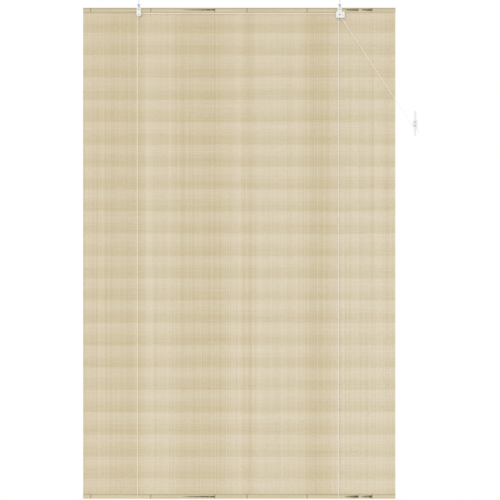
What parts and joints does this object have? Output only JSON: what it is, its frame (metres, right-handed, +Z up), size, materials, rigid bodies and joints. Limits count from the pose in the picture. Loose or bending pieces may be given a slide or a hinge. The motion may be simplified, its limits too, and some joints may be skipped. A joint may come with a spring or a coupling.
{
  "type": "bamboo roll up blind",
  "caption": "Woven bamboo roll-up blind between split bamboo battens, hung from ceiling screw hooks, with pulley, cord lock, lift cords and a wall cleat.",
  "frame": {"origin": "midway between the two hook axes, on the ceiling plane where the hooks' cups seat", "axes": "+Z up along the hooks' threads, +X to the right along the battens seen from the room, -Y towards the room"},
  "size_m": [1.5061, 0.0475, 2.2436],
  "materials": {
    "woven_bamboo": "raw split bamboo, silky",
    "split_bamboo": "raw bamboo skin, satin",
    "staple_wire": "bright wire",
    "zinc_plate": "bright zinc plated",
    "screw_steel": "zinc plated",
    "white_plastic": "moulded, satin",
    "white_nylon": "moulded, smooth",
    "cotton_cord": "braided cotton",
    "cleat_plastic": "moulded, smooth"
  },
  "bodies": {
    "hung_blind": {"bamboo_mat": "woven_bamboo", "head_batten_front": "split_bamboo", "head_batten_rear": "split_bamboo", "foot_batten_front": "split_bamboo", "foot_batten_rear": "split_bamboo", "batten_staples": "staple_wire", "cord_staples": "staple_wire", "screw_hooks": "zinc_plate", "hanger_screws": "screw_steel", "cleat_screws": "screw_steel", "left_axle_pin": "screw_steel", "right_axle_pin": "screw_steel", "cam_pivot_pin": "screw_steel", "left_pulley_housing": "white_plastic", "right_lock_housing": "white_plastic", "left_lift_cord": "cotton_cord", "right_lift_cord": "cotton_cord", "cord_end_knots": "cotton_cord", "joining_knot": "cotton_cord", "pull_cord": "cotton_cord", "tail_knot": "cotton_cord", "cord_cleat": "cleat_plastic"},
    "left_wheel": {"left_pulley_wheel": "white_nylon"},
    "right_wheel": {"right_pulley_wheel": "white_nylon"},
    "cam": {"lock_cam": "white_nylon"}
  },
  "joints": [
    {"name": "right_wheel_spin", "type": "hinge", "parent": "hung_blind", "child": "right_wheel", "pos_m": [0.45, -0.0014, -0.046], "axis": [0, 1, 0], "continuous": true},
    {"name": "left_wheel_spin", "type": "hinge", "parent": "hung_blind", "child": "left_wheel", "pos_m": [-0.45, 0, -0.046], "axis": [0, 1, 0], "continuous": true},
    {"name": "cam_release", "type": "hinge", "parent": "hung_blind", "child": "cam", "pos_m": [0.4635, -0.0014, -0.048], "axis": [0, -1, 0], "range_deg": [0, 35]}
  ],
  "couplings": [
    {"joint": "left_wheel_spin", "follows": "right_wheel_spin", "ratio": 1}
  ]
}
